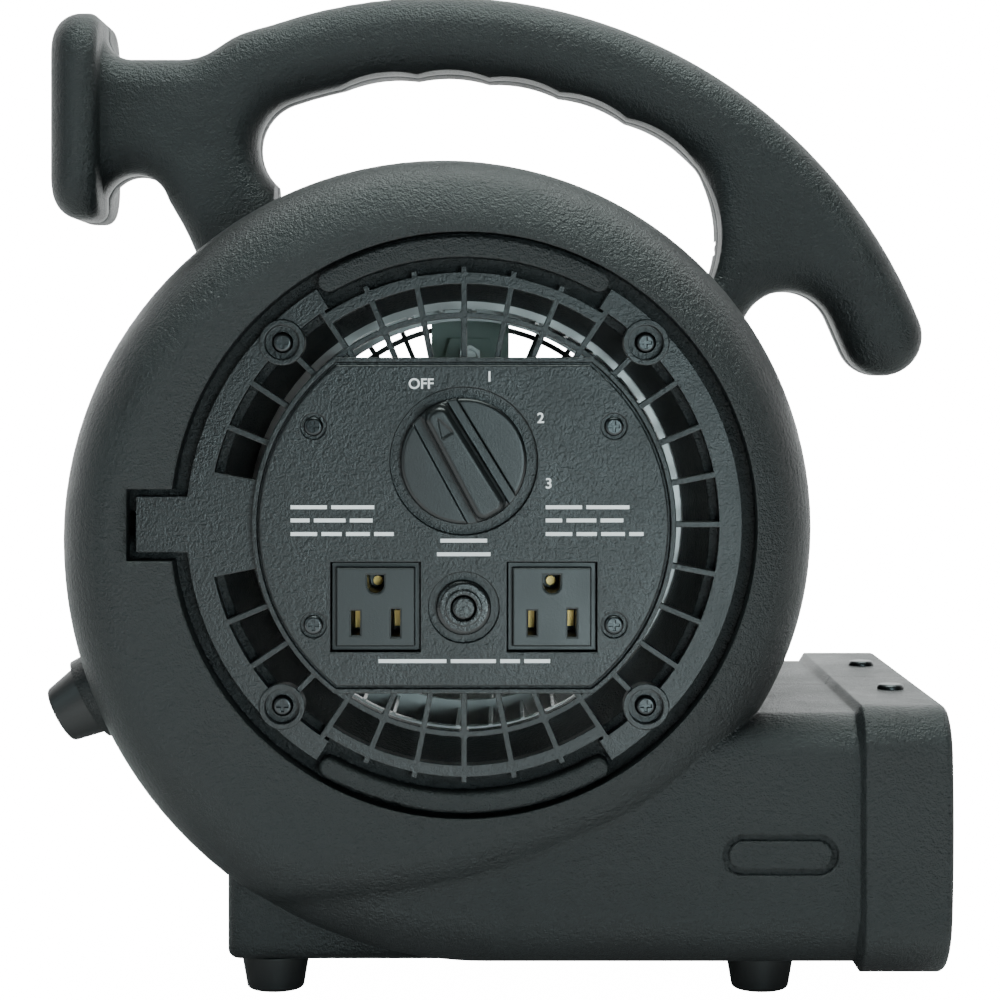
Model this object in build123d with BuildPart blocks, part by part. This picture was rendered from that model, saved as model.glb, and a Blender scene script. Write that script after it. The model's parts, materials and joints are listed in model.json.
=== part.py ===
from build123d import *
import os
from math import acos, asin, cos, degrees, hypot, radians, sin

# A small centrifugal air mover. Two moulded housing halves hold a squirrel-cage wheel on a motor, with an air
# inlet on both sides and one outlet duct. Millimetres, +Z up, the outlet blows towards +X, and the control panel
# faces -Y. The halves meet at Y = 0. "Depth" below is the distance ahead of that seam, so the panel side is
# positive and the motor side negative. Most places are given from the wheel axis as (across, up).

os.makedirs("parts", exist_ok=True)

# ---------------------------------------------------------------- driving dimensions
axis_x, axis_z = -7.8, 155.5          # wheel axis, parallel to Y
wall = 3.0                            # housing wall

side_half = 95.0                      # seam to the crest of each inlet ring
duct_half = 89.0                      # seam to each flat side of the duct
ring_roll, duct_roll = 24.0, 20.0     # rounded outer edges of the scroll and the duct
duct_top_roll = 14.0
cavity_half, cavity_roll = 86.0, 15.0

# The scroll's four arcs as (centre, radius, start angle, sweep), tangent where they meet
scroll_low_left = ((6.9, -6.0), 137.9, 235, -55)
scroll_top_left = ((-7.0, -6.0), 124.0, 180, -90)
scroll_top_right = ((-7.0, -2.0), 120.0, 90, -90)
scroll_right = ((0.0, -2.0), 113.0, 0, -64)
scroll_arcs = [scroll_low_left, scroll_top_left, scroll_top_right, scroll_right]
scroll_bottom = scroll_low_left[0][1] - scroll_low_left[1]

duct_start_x = scroll_low_left[0][0]
duct_top = -61.8
collar_x, collar_bulge_x, mouth_x = 130.0, 154.7, 156.8
collar_rise = 2.8                     # the collar stands this far outside the duct

recess_radius, recess_floor = 93.5, 84.0
inlet_radius, throat_radius = 79.0, 72.5
cup_floor = 3.5                       # thickness under the recess
throat_depth = 53.0

handle_half, handle_roll = 19.0, 10.0
handle_centre, handle_radius = (-9.5, -0.5), 181.0
grip_centre, grip_radius = (-11.7, -4.1), 156.6
grip_left_angle, grip_left_radius = 108.6, 17.2
grip_right_angle, grip_right_radius = 55.2, 16.4
groove_first, groove_pitch, groove_count = 101.3, 9.2, 5
groove_radius, groove_sagitta = 42.0, 2.0
hook_centre, hook_radius = (112.4, 60.7), 16.7
crown_left, crown_right, tip_radius = 108.3, 21.8, 14.0
neck_low, neck_low_radius, neck_low_end = (-116.2, 106.7), 11.6, 21.0
neck_top, neck_start_x, neck_end_x, neck_blend_radius = 158.5, -117.4, -100.4, 10.0
flange_left, flange_right, flange_low, flange_high = -143.8, -127.2, 101.8, 173.6
flange_half = 32.0
handle_wall = 4.5

block_left, block_half, block_top, block_edge = -78.0, 70.0, 50.0, 3.0
boss_radius, screw_shank = 5.5, 1.9
pad_x, pad_up, pad_length, pad_height = 101.5, -106.0, 33.0, 9.0
screw_head, screw_seat, screw_floor, rear_screw_floor = 3.6, 12.0, 86.5, 88.5
gland_at, gland_radius, gland_flange, gland_seat = (-82.0, -70.0), 7.0, 9.5, 93.8
gland_bore = 4.2
well_floor, bushing_radius, breaker_bushing = 94.0, 4.6, 5.6
sleeve_x, rivet_x, rivet_y, rivet_radius = 134.0, 144.5, 36.0, 2.2
sleeve_wall, sleeve_length, guard_pitch, guard_rod = 2.2, 16.5, 16.0, 1.5
lead_depth, lead_radius, seam_gap = 79.0, 2.5, 0.2

grille_screws = [(58.2, 58.2), (-58.2, 58.2), (-58.2, -58.2), (58.2, -58.2)]
housing_screws_at = [(-97.0, 138.0), (92.0, 93.0), (145.0, 62.0), (-72.0, -130.0)]

knob_disc, bar_height, shaft_bore = 4.6, 15.6, 3.0
bar_outline = [(-4.6, 19.9), (4.6, 19.9), (5.9, -19.9), (-5.9, -19.9)]
groove_wide, groove_deep = 3.2, 1.8   # the groove along each side of the knob's bar
button_radius, button_proud = 3.7, 2.6
outlet_face, blade_pitch, slot_width = 25.0, 12.7, 2.9
slot_bevel, contact_height = 0.8, 4.0
rotor_radius, rotor_gap, stator_back, stator_length = 21.5, 0.4, -60.0, 32.0
bearing_outer, bearing_width, boss_length = 11.0, 7.0, 10.0
shaft_length, bolt_radius, tie_radius, tie_ring = 96.0, 2.5, 1.8, 32.0
lead_entry = (-36.0, -15.0)           # where the lead enters the motor's rear cap
ear_points = [(40, -14), (62, -7.5), (62, 7.5), (40, 14)]
arm_width = 30.0
rim_depth, hub_radius, hub_back, hub_front, set_screw_radius = 4.0, 14.0, 2.0, 14.0, 2.0
window_half = 37.0

dome_apex, foot_seat, capacitor_radius = 110.0, 4.5, 9.0

rib_count, rib_width = 32, 1.8
ring_outer, ring_inner, ring_notched, ring_inner_notched = 89.0, 81.6, 80.8, 77.0
mid_ring = 67.0
ring_front = 90.0
tab_left, tab_half, tab_gap, tab_length = -105.0, 9.0, 2.5, 26.0
tab_middle = tab_left - tab_gap + tab_length / 2
bar_inner, bar_outer, bar_span = 85.5, 92.0, 29.0

panel_radius, panel_flat, panel_front, panel_back = 65.0, 51.0, 97.0, 93.0
panel_screws_at = [(47.7, 31.5), (-47.7, 31.5), (-47.7, -31.5), (47.7, -31.5)]
box_back = 64.0

knob_up, knob_radius, knob_well = 20.5, 20.0, 23.5
breaker_up = -25.9
outlet_x, outlet_up, outlet_frame = 28.0, -25.8, 28.7

wheel_outer, wheel_eye, wheel_half = 84.0, 70.0, 50.0
blade_count = 40
web_back, web_front = 1.0, 4.0        # depths of the wheel's centre web
window_in, window_out = 44.0, 67.0

motor_radius, motor_back, motor_front = 42.0, -70.0, -18.0
shaft_radius, bearing_gap = 4.0, 0.05
bracket_back, bracket_front = -75.5, -73.0
ear_bolt = 55.0
spider_front, spider_back = -84.0, -87.0

foot_y = 57.0
feet_at = {
    "left_front": (-63.0, -foot_y),
    "left_rear": (-63.0, foot_y),
    "right_front": (97.8, -foot_y),
    "right_rear": (97.8, foot_y),
}
foot_top, foot_radius, foot_tip = 11.6, 11.3, 9.3
stand_foot_radius, stand_foot_tip, stand_foot_height = 12.0, 9.5, 11.5
foot_screw_depth = 8.0
stand_at, stand_angle, stand_y = (-123.9, -59.4), 208.9, 60.0


# ---------------------------------------------------------------- planes and helpers
def across(depth):
    """The plane square to the wheel axis at a depth, looking from the panel side."""
    return Plane(origin=(axis_x, -depth, axis_z), x_dir=(1, 0, 0), z_dir=(0, -1, 0))


def stand_plane(side):
    """The plane of a stand foot's pad, facing out of the scroll, on the front (1) or rear (-1)."""
    outwards = (cos(radians(stand_angle)), 0, sin(radians(stand_angle)))
    origin = (axis_x + stand_at[0], -side * stand_y, axis_z + stand_at[1])
    return Plane(origin=origin, x_dir=(0, 1, 0), z_dir=outwards)


def foot_plane(x, y):
    """The plane of one foot's top, facing down."""
    return Plane(origin=(axis_x + x, y, foot_top), x_dir=(1, 0, 0), z_dir=(0, 0, -1))


foot_planes = [foot_plane(x, y) for x, y in feet_at.values()]
stand_planes = [stand_plane(side) for side in (1, -1)]
axial = Plane(origin=(axis_x, 0, axis_z), x_dir=(1, 0, 0), z_dir=(0, 0, -1))    # (radius, depth)
wheel_axis = Axis((axis_x, 0, axis_z), (0, 1, 0))


def polar(centre, radius, angle):
    return (centre[0] + radius * cos(radians(angle)), centre[1] + radius * sin(radians(angle)))


def turned(point, angle):
    """A point turned about the origin."""
    return (
        point[0] * cos(radians(angle)) - point[1] * sin(radians(angle)),
        point[0] * sin(radians(angle)) + point[1] * cos(radians(angle)),
    )


def outline(*points):
    """A straight-sided closed face."""
    with BuildSketch() as shape:
        with BuildLine():
            Polyline(*points, close=True)
        make_face()
    return shape.sketch


def ring_of(inner, outer, back, front):
    """A plain ring about the wheel axis, as a face for the axial plane."""
    return outline((inner, back), (outer, back), (outer, front), (inner, front))


def sector(inner, outer, middle, half):
    """A piece of a flat ring about the origin."""
    with BuildSketch() as shape:
        with BuildLine():
            far = CenterArc((0, 0), outer, middle - half, 2 * half)
            near = CenterArc((0, 0), inner, middle - half, 2 * half)
            Line(far @ 0, near @ 0)
            Line(far @ 1, near @ 1)
        make_face()
    return shape.sketch


def flatted_disc(radius, flat):
    """A disc cut off straight above and below."""
    with BuildSketch() as disc:
        Circle(radius)
        Rectangle(2 * radius, 2 * flat, mode=Mode.INTERSECT)
    return disc.sketch


def write(piece, label):
    piece.label = label
    export_step(piece, f"parts/{label}.step")


pointer_angle = 30.0                  # the knob points this far left of straight up when off
knob_plane = Plane(
    origin=(axis_x, -well_floor - 0.4, axis_z + knob_up),
    x_dir=(cos(radians(pointer_angle)), 0, sin(radians(pointer_angle))),
    z_dir=(0, -1, 0),
)

# ---------------------------------------------------------------- housing, outside
with BuildPart() as scroll_body:
    with BuildSketch(across(0)):
        with BuildLine():
            for centre, radius, start, turn in scroll_arcs:
                CenterArc(centre, radius, start, turn)
            low_end = polar(scroll_low_left[0], scroll_low_left[1], 235)
            right_end = polar(scroll_right[0], scroll_right[1], -64)
            Spline(low_end, right_end, tangents=[(0.82, -0.57), (0.9, 0.44)])
        make_face()
    extrude(amount=side_half, both=True)
    fillet(scroll_body.faces().filter_by(Axis.Y).edges(), ring_roll)

with BuildPart() as scroll_corner:
    with BuildSketch(across(0)):
        with BuildLine():
            corner_arc = CenterArc(scroll_low_left[0], scroll_low_left[1], 180, 90)
            Polyline(corner_arc @ 0, scroll_low_left[0], corner_arc @ 1)
        make_face()
    extrude(amount=duct_half, both=True)
    fillet(scroll_corner.edges().filter_by(GeomType.CIRCLE), duct_roll)

duct_height = duct_top - scroll_bottom
duct_middle = axis_z + (duct_top + scroll_bottom) / 2


def duct_section(x, grow, top_roll, low_roll):
    """The duct's cross-section in a plane square to X, grown outwards on all four sides."""
    with BuildSketch(Plane.YZ.offset(axis_x + x)) as section:
        with Locations((0, duct_middle)):
            Rectangle(2 * (duct_half + grow), duct_height + 2 * grow)
        fillet(section.vertices().group_by(Axis.Y)[-1], top_roll)
        fillet(section.vertices().group_by(Axis.Y)[0], low_roll)
    return section.sketch


with BuildPart() as duct_body:
    extrude(duct_section(duct_start_x, 0, duct_top_roll, duct_roll), amount=collar_x + 2 - duct_start_x)

with BuildPart() as collar_body:
    extrude(duct_section(collar_x - 4, collar_rise, duct_top_roll, duct_roll), amount=mouth_x - collar_x + 4)
    chamfer(collar_body.faces().sort_by(Axis.X)[0].edges(), 2.6, 4.0)
    with BuildSketch(across(0)):
        with BuildLine():
            bulge = ThreePointArc(
                (collar_bulge_x, scroll_bottom - 20),
                (mouth_x, (duct_top + scroll_bottom) / 2 + 4),
                (collar_bulge_x + 0.6, duct_top + 20),
            )
            Polyline(bulge @ 1, (collar_x - 20, duct_top + 20), (collar_x - 20, scroll_bottom - 20), bulge @ 0)
        make_face()
    extrude(amount=2 * duct_half, both=True, mode=Mode.INTERSECT)
    fillet(collar_body.faces().sort_by(Axis.X)[-1].outer_wire().edges(), 2.5)

grip_left = polar(grip_centre, grip_radius - grip_left_radius, grip_left_angle)
grip_right = polar(grip_centre, grip_radius - grip_right_radius, grip_right_angle)
grip_span = hypot(grip_right[0] - grip_left[0], grip_right[1] - grip_left[1])
grip_slope = degrees(asin((grip_right[1] - grip_left[1]) / grip_span))
grip_low_angle = grip_slope - degrees(acos((grip_left_radius - grip_right_radius) / grip_span))

tip_centre = polar(handle_centre, handle_radius - tip_radius, crown_right)
tip_span = hypot(tip_centre[0] - hook_centre[0], tip_centre[1] - hook_centre[1])
tip_slope = degrees(asin((tip_centre[1] - hook_centre[1]) / tip_span))
tip_turn = tip_slope + degrees(acos((tip_radius + hook_radius) / tip_span))


def outside_scroll_and_flange(edge):
    middle = edge.center()
    return middle.X > axis_x + flange_right and hypot(middle.X - axis_x, middle.Z - axis_z) > 105


with BuildPart() as handle_body:
    with BuildSketch(across(0)):
        with BuildLine():
            crown = CenterArc(handle_centre, handle_radius, crown_right, crown_left - crown_right)
            Spline(
                (neck_end_x, neck_top), (-81.1, 166.7), crown @ 1,
                tangents=[(1, 0), (sin(radians(crown_left)), -cos(radians(crown_left)))],
            )
            neck_blend = CenterArc((neck_start_x, neck_top + neck_blend_radius), neck_blend_radius, 180, 90)
            Line((neck_end_x, neck_top), neck_blend @ 1)
            neck_arc = CenterArc(neck_low, neck_low_radius, 180, neck_low_end - 180)
            Polyline(neck_blend @ 0, (-138, 168.5), (-138, neck_low[1]), neck_arc @ 0)
            leg_heading = (sin(radians(neck_low_end)), -cos(radians(neck_low_end)))
            leg_turns = [leg_heading, leg_heading]
            leg = Spline(neck_arc @ 1, (-101.1, 103), (-94, 88), (-88.5, 74), tangents=leg_turns)
            hook_arc = CenterArc(hook_centre, hook_radius, tip_turn, 144 - tip_turn)
            Polyline(leg @ 1, (-60, 40), (80, 40), hook_arc @ 1)
            tip = CenterArc(tip_centre, tip_radius, tip_turn + 180, crown_right + 180 - tip_turn)
            Line(tip @ 0, hook_arc @ 0)
        make_face()
        with BuildLine():
            left_sweep = grip_low_angle + 360 - grip_left_angle
            left_arc = CenterArc(grip_left, grip_left_radius, grip_left_angle, left_sweep)
            CenterArc(grip_centre, grip_radius, grip_right_angle, grip_left_angle - grip_right_angle)
            right_sweep = grip_right_angle - grip_low_angle
            right_arc = CenterArc(grip_right, grip_right_radius, grip_low_angle, right_sweep)
            Line(right_arc @ 0, left_arc @ 1)
        make_face(mode=Mode.SUBTRACT)
    extrude(amount=handle_half, both=True)
    rims = handle_body.faces().filter_by(Axis.Y).edges()
    fillet(rims.filter_by(outside_scroll_and_flange), handle_roll)
    groove_ring = grip_radius + groove_sagitta - groove_radius
    with BuildSketch(across(0)):
        for number in range(groove_count):
            middle = groove_first - groove_pitch * (number + 0.5)
            with Locations(polar(grip_centre, groove_ring, middle)):
                Circle(groove_radius)
    extrude(amount=handle_half, both=True, mode=Mode.SUBTRACT)

with BuildPart() as flange_body:
    with BuildSketch(Plane.YZ.offset(axis_x + flange_left)):
        with Locations((0, axis_z + (flange_low + flange_high) / 2)):
            RectangleRounded(2 * flange_half, flange_high - flange_low, 15)
    extrude(amount=flange_right - flange_left)
    fillet(flange_body.faces().sort_by(Axis.X)[0].edges(), 10)
    fillet(flange_body.faces().sort_by(Axis.X)[-1].edges(), 4)

with BuildPart() as foot_block:
    with BuildSketch(Plane.XY.offset(foot_top)):
        with Locations((axis_x + (block_left + duct_start_x) / 2, 0)):
            RectangleRounded(duct_start_x - block_left, 2 * block_half, 5)
    extrude(amount=block_top)
    fillet(foot_block.faces().sort_by(Axis.Z)[0].edges(), block_edge)

with BuildPart() as housing:
    add(scroll_body.part)
    add(scroll_corner.part)
    add(duct_body.part)
    add(collar_body.part)
    add(handle_body.part)
    add(flange_body.part)
    add(foot_block.part)
    for side in (-1, 1):
        with BuildSketch(stand_plane(side)):
            Circle(14)
        extrude(amount=-12)

# ---------------------------------------------------------------- housing, inside
with BuildPart() as air_path:
    with BuildSketch(across(0)):
        with BuildLine():
            low_arc = CenterArc(scroll_low_left[0], scroll_low_left[1] - wall, 180, 90)
            for centre, radius, start, turn in scroll_arcs[1:]:
                last_arc = CenterArc(centre, radius - wall, start, turn)
            Line(last_arc @ 1, low_arc @ 1)
        make_face()
    extrude(amount=cavity_half, both=True)
    fillet(air_path.faces().filter_by(Axis.Y).edges(), cavity_roll)
    extrude(duct_section(duct_start_x + 8, -wall, duct_top_roll - wall, duct_roll - wall), amount=mouth_x)
    extrude(duct_section(sleeve_x, 0.2, duct_top_roll, duct_roll), amount=mouth_x)

with BuildPart() as handle_hollow:
    with BuildSketch(across(0)) as hollow_sketch:
        with BuildLine():
            CenterArc(handle_centre, handle_radius - handle_wall, 27, 80)
            inner = CenterArc(grip_centre, grip_radius + handle_wall, 36, 80)
            Line(polar(handle_centre, handle_radius - handle_wall, 27), inner @ 0)
            Line(polar(handle_centre, handle_radius - handle_wall, 107), inner @ 1)
        make_face()
        with Locations((neck_low[0] + 14, (neck_top + neck_low[1] + neck_low_radius) / 2)):
            Rectangle(36, neck_top - neck_low[1] - neck_low_radius - 2 * handle_wall)
        add(outline((110, 84), (146, 50), (154, 62), (134, 104), (108, 130), (90, 104)))
        with Locations(grip_left):
            Circle(grip_left_radius + handle_wall, mode=Mode.SUBTRACT)
        with Locations(grip_right):
            Circle(grip_right_radius + handle_wall, mode=Mode.SUBTRACT)
        with Locations(hook_centre):
            Circle(hook_radius + handle_wall, mode=Mode.SUBTRACT)
        Circle(scroll_top_left[1] + 4, mode=Mode.SUBTRACT)
    extrude(amount=handle_half - handle_wall, both=True)
    with BuildSketch(Plane.YZ.offset(axis_x + flange_left + wall + 1)):
        with Locations((0, axis_z + (flange_low + flange_high) / 2)):
            RectangleRounded(2 * flange_half - 10, flange_high - flange_low - 10, 11)
    extrude(amount=flange_right - flange_left - 2 * wall - 2)
    with BuildSketch(across(0)):
        with Locations(*housing_screws_at):
            Circle(boss_radius)
    extrude(amount=handle_half, both=True, mode=Mode.SUBTRACT)

with BuildPart() as inlet_cup:
    with BuildSketch(axial):
        add(ring_of(inlet_radius, recess_radius + wall, recess_floor - cup_floor, side_half - 2))
        with BuildLine():
            funnel = ThreePointArc((inlet_radius, recess_floor), (75.2, 66), (throat_radius, throat_depth))
            funnel_back = ThreePointArc((throat_radius + wall, throat_depth), (78.4, 67), (84, 80.5))
            Line(funnel @ 1, funnel_back @ 0)
            Polyline(funnel_back @ 1, (84, recess_floor), funnel @ 0)
        make_face()
    revolve(axis=wheel_axis)
    with BuildSketch(across(66)):
        with Locations(*grille_screws):
            Circle(5.5)
    extrude(amount=recess_floor - 66)
    with BuildSketch(across(recess_floor - cup_floor)):
        with Locations((tab_middle - wall / 2, 0)):
            Rectangle(tab_length + wall, 2 * (tab_half + tab_gap + wall))
    extrude(amount=cup_floor + 7)
    mirror(about=Plane.XZ)

with BuildPart() as arc_bars:
    with BuildSketch(across(recess_floor - 2)):
        for middle in (90, 270):
            add(sector(bar_inner, bar_outer, middle, bar_span))
            with PolarLocations((bar_inner + bar_outer) / 2, 2, middle - bar_span, 2 * bar_span, endpoint=True):
                Circle((bar_outer - bar_inner) / 2)
    extrude(amount=side_half - recess_floor + 0.5)
    fillet(arc_bars.faces().sort_by(Axis.Y)[0].edges(), 1.4)
    mirror(about=Plane.XZ)

with BuildPart() as shell:
    add(housing.part)
    add(air_path.part, mode=Mode.SUBTRACT)
    add(handle_hollow.part, mode=Mode.SUBTRACT)
    with Locations(*[(x + axis_x, y, foot_top + 5) for x, y in feet_at.values()]):
        Cylinder(6, 10)
    add(inlet_cup.part)
    for facing in (1, -1):
        with BuildSketch(across(facing * recess_floor)):
            Circle(recess_radius)
        extrude(amount=facing * 20, mode=Mode.SUBTRACT)
        with BuildSketch(across(facing * throat_depth)):
            Circle(throat_radius)
        extrude(amount=facing * 40, mode=Mode.SUBTRACT)
    with BuildSketch(axial):
        with BuildLine():
            Polyline(funnel @ 1, (0, throat_depth), (0, recess_floor), funnel @ 0)
            ThreePointArc((inlet_radius, recess_floor), (75.2, 66), (throat_radius, throat_depth))
        make_face()
    revolve(axis=wheel_axis, mode=Mode.SUBTRACT)
    add(arc_bars.part)
    for facing in (1, -1):
        with BuildSketch(across(facing * recess_floor)):
            with Locations(*grille_screws):
                Circle(screw_shank + 0.05)
        extrude(amount=-facing * 14, mode=Mode.SUBTRACT)
        with BuildSketch(across(facing * (duct_half - 1.4))):
            with Locations((pad_x, pad_up)):
                SlotOverall(pad_length + 4, pad_height + 4)
                SlotOverall(pad_length, pad_height, mode=Mode.SUBTRACT)
        extrude(amount=facing * 3, mode=Mode.SUBTRACT)
    for plane in foot_planes + stand_planes:
        with BuildSketch(plane):
            Circle(screw_shank + 0.05)
        extrude(amount=-foot_screw_depth - 1, mode=Mode.SUBTRACT)

front_half = Plane.XZ.offset(seam_gap / 2)
rear_half = Plane.XZ.offset(-seam_gap / 2)



def bore_from(depth, amount, radius, places):
    """Round holes across the seam, as a cutting solid."""
    with BuildPart() as drill:
        with BuildSketch(across(depth)):
            with Locations(*places):
                Circle(radius)
        extrude(amount=amount)
    return drill.part


def rivet_holes(side):
    with BuildPart() as drill:
        with BuildSketch(Plane.XY.offset(axis_z + scroll_bottom - 5)):
            with Locations((axis_x + rivet_x, -side * rivet_y)):
                Circle(rivet_radius + 0.05)
        extrude(amount=duct_height + 10)
    return drill.part


with BuildPart() as front_housing:
    add(shell.part)
    split(bisect_by=front_half, keep=Keep.TOP)
    with BuildSketch(across(recess_floor)):
        with Locations((tab_middle, 0)):
            Rectangle(tab_length, 2 * (tab_half + tab_gap))
    extrude(amount=20, mode=Mode.SUBTRACT)
    with BuildSketch(across(lead_depth - 3.5)):
        with Locations((-94, 0)):
            Rectangle(40, 8)
    extrude(amount=recess_floor - lead_depth + 4, mode=Mode.SUBTRACT)
    add(bore_from(0, 14, screw_shank + 0.05, housing_screws_at), mode=Mode.SUBTRACT)
    add(rivet_holes(1), mode=Mode.SUBTRACT)
write(front_housing.part, "front_housing")

with BuildPart() as rear_housing:
    add(shell.part)
    split(bisect_by=rear_half, keep=Keep.BOTTOM)
    with BuildSketch(across(-lead_depth + 3.5)):
        with Locations((-94, 0)):
            Rectangle(40, 8)
    extrude(amount=-(recess_floor - lead_depth + 4), mode=Mode.SUBTRACT)
    add(bore_from(0, -30, screw_shank + 0.3, housing_screws_at), mode=Mode.SUBTRACT)
    add(bore_from(-screw_seat, -80, screw_head + 0.6, housing_screws_at), mode=Mode.SUBTRACT)
    add(bore_from(-70, -30, gland_radius + 0.05, [gland_at]), mode=Mode.SUBTRACT)
    add(bore_from(-gland_seat, -10, gland_flange + 0.3, [gland_at]), mode=Mode.SUBTRACT)
    add(rivet_holes(-1), mode=Mode.SUBTRACT)
write(rear_housing.part, "rear_housing")


# ---------------------------------------------------------------- fasteners
def pan_screws(places, seat, length, shank, head, height, facing=1):
    """Cross-recessed pan-head screws along the wheel axis, their heads resting at a depth."""
    with BuildPart() as screws:
        with BuildSketch(across(seat)):
            with Locations(*places):
                Circle(head)
        extrude(amount=facing * height)
        outer_faces = screws.faces().filter_by(Axis.Y).group_by(Axis.Y)
        crown = outer_faces[0] if facing > 0 else outer_faces[-1]
        fillet(crown.edges(), height * 0.55)
        with BuildSketch(across(seat)):
            with Locations(*places):
                Circle(shank)
        extrude(amount=-facing * length)
        with BuildSketch(across(seat + facing * height)):
            with Locations(*places):
                Rectangle(head * 1.15, head * 0.3)
                Rectangle(head * 0.3, head * 1.15)
        extrude(amount=-facing * height * 0.6, mode=Mode.SUBTRACT)
    return screws.part


seam_screws = pan_screws(housing_screws_at, -screw_seat, screw_seat + 12, screw_shank, screw_head, 2.4, -1)
write(seam_screws, "housing_screws")
write(pan_screws(grille_screws, screw_floor, 14, screw_shank, 3.4, 2.4), "front_grille_screws")
write(pan_screws(grille_screws, -rear_screw_floor, 15, screw_shank, 3.4, 2.4, -1), "rear_grille_screws")
write(pan_screws(panel_screws_at, panel_front - 1.4, 9, 1.4, 3.05, 1.8), "panel_screws")

# ---------------------------------------------------------------- front grille and its control box
with BuildPart() as front_grille:
    with BuildSketch(across(recess_floor)):
        Circle(ring_outer)
        for middle in (90, 270):
            add(sector(ring_notched, ring_outer + 1, middle, 32), mode=Mode.SUBTRACT)
        Circle(ring_inner, mode=Mode.SUBTRACT)
        for middle in (90, 270):
            add(sector(ring_inner_notched, ring_notched, middle, 34))
        with PolarLocations((mid_ring + ring_inner) / 2 - 6, rib_count):
            Rectangle(ring_inner - mid_ring + 14, rib_width)
        with Locations(*grille_screws):
            Circle(7.3)
        Circle(mid_ring + 0.9)
        Circle(mid_ring - 0.9, mode=Mode.SUBTRACT)
        with PolarLocations((mid_ring + 50) / 2, rib_count):
            Rectangle(mid_ring - 50, rib_width)
        with PolarLocations(mid_ring, 5, 45, 90, endpoint=True):
            Circle(1.7)
        with PolarLocations(mid_ring, 5, 225, 90, endpoint=True):
            Circle(1.7)
        add(sector(mid_ring - 1, ring_outer - 1, 180, 11.25))
        with Locations(((tab_left - 80) / 2, 0)):
            Rectangle(-80 - tab_left, 2 * tab_half)
    extrude(amount=ring_front - recess_floor)
    with BuildSketch(across(box_back)):
        add(flatted_disc(panel_radius + 0.4, panel_flat + 0.4))
    extrude(amount=panel_back - box_back)
    with BuildSketch(across(recess_floor - 3)):
        add(flatted_disc(panel_radius + 2.4, panel_flat + 2.4))
    extrude(amount=panel_front - 1.5 - recess_floor + 3)
    with BuildSketch(across(box_back + 2)):
        add(flatted_disc(panel_radius - 1.6, panel_flat - 1.6))
    extrude(amount=panel_front - box_back, mode=Mode.SUBTRACT)
    with BuildSketch(across(panel_back)):
        add(flatted_disc(panel_radius + 0.9, panel_flat + 0.9))
    extrude(amount=20, mode=Mode.SUBTRACT)
    with BuildSketch(across(box_back)):
        with Locations(*panel_screws_at):
            Circle(4)
    extrude(amount=panel_back - box_back)
    with BuildSketch(across(ring_front)):
        with Locations(*grille_screws):
            Circle(7.3)
    extrude(amount=1)
    with BuildSketch(across(screw_floor)):
        with Locations(*grille_screws):
            Circle(5.6)
    extrude(amount=10, mode=Mode.SUBTRACT)
    add(bore_from(recess_floor - 1, 20, screw_shank + 0.3, grille_screws), mode=Mode.SUBTRACT)
    add(bore_from(panel_back - 9, 20, 1.45, panel_screws_at), mode=Mode.SUBTRACT)
    with BuildSketch(across(lead_depth - 3)):
        with Locations((-64, 0)):
            Rectangle(8, 6)
    extrude(amount=6, mode=Mode.SUBTRACT)
write(front_grille.part, "front_grille")

with BuildPart() as control_panel:
    with BuildSketch(across(panel_back)):
        add(flatted_disc(panel_radius, panel_flat))
    extrude(amount=panel_front - panel_back)
    fillet(control_panel.faces().sort_by(Axis.Y)[0].edges(), 0.6)
    with BuildSketch(across(panel_back - 2)):
        with Locations((0, knob_up)):
            Circle(knob_well + 1.5)
        with Locations((0, breaker_up)):
            Circle(12.5)
    extrude(amount=2.5)
    with BuildSketch(across(well_floor)):
        with Locations((0, knob_up)):
            Circle(knob_well)
    extrude(amount=10, mode=Mode.SUBTRACT)
    with BuildSketch(across(panel_front - 1.5)):
        with Locations((0, breaker_up)):
            Circle(11.3)
    extrude(amount=10, mode=Mode.SUBTRACT)
    with BuildSketch(across(panel_back - 4)):
        with Locations((0, knob_up)):
            Circle(bushing_radius)
        with Locations((0, breaker_up)):
            Circle(breaker_bushing)
        with Locations((outlet_x, outlet_up), (-outlet_x, outlet_up)):
            Rectangle(outlet_frame, outlet_frame)
    extrude(amount=20, mode=Mode.SUBTRACT)
    with BuildSketch(across(panel_front - 1.4)):
        with Locations(*panel_screws_at):
            Circle(4.2)
    extrude(amount=5, mode=Mode.SUBTRACT)
    add(bore_from(panel_back - 1, 20, 1.7, panel_screws_at), mode=Mode.SUBTRACT)
write(control_panel.part, "control_panel")

# ---------------------------------------------------------------- speed switch and knob
with BuildPart() as switch_body:
    with BuildSketch(across(panel_back - 22)):
        with Locations((0, knob_up)):
            RectangleRounded(30, 26, 2)
    extrude(amount=20)
    with BuildSketch(across(panel_back - 2)):
        with Locations((0, knob_up)):
            Circle(bushing_radius - 0.1)
    extrude(amount=well_floor - panel_back + 4.2)
    with BuildSketch(across(panel_back - 20)):
        with Locations((0, knob_up)):
            Circle(shaft_bore)
    extrude(amount=30, mode=Mode.SUBTRACT)
    with BuildSketch(across(panel_back - 26)):
        with Locations(*[(x, knob_up + y) for x in (-9, -3, 3, 9) for y in (-8, 8)]):
            Rectangle(0.8, 4.8)
    extrude(amount=4)
write(switch_body.part, "switch_body")

with BuildPart() as switch_nut:
    with BuildSketch(across(well_floor)):
        with Locations((0, knob_up)):
            RegularPolygon(6.8, 6)
            Circle(bushing_radius - 0.05, mode=Mode.SUBTRACT)
    extrude(amount=2)
write(switch_nut.part, "switch_nut")

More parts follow.
